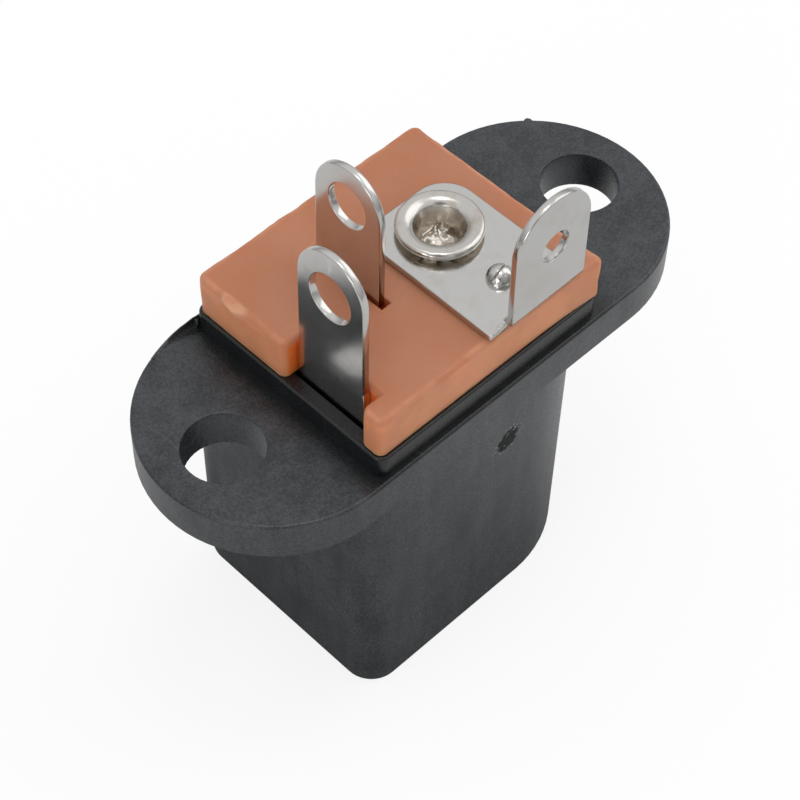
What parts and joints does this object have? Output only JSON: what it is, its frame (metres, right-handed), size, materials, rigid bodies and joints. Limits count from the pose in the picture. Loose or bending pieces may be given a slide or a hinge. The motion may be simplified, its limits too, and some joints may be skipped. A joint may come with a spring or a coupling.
{
  "type": "dc barrel jack",
  "caption": "Panel-mount DC barrel jack with a flanged moulded housing, an insulating terminal plate, a riveted centre pin and soldering lugs.",
  "frame": {"origin": "on the plug face, midway between the two screw holes and under the middle of the flange", "axes": "+Z along the barrel axis from the plug face to the soldering side, +X along the row of screw holes towards the barrel, +Y across the flange, away from the pin terminal's tab"},
  "size_m": [0.0232, 0.01, 0.0212],
  "materials": {
    "housing": "semi-gloss moulded",
    "terminal_plate": "waxy, slightly translucent laminate",
    "centre_pin": "nickel plated, rolled over",
    "pin_terminal": "bright tin plate",
    "sleeve_contact": "bright nickel plate",
    "switch_contact": "bright nickel plate"
  },
  "bodies": {
    "root": {"housing": "housing", "terminal_plate": "terminal_plate", "centre_pin": "centre_pin", "pin_terminal": "pin_terminal", "sleeve_contact": "sleeve_contact", "switch_contact": "switch_contact"}
  },
  "joints": []
}
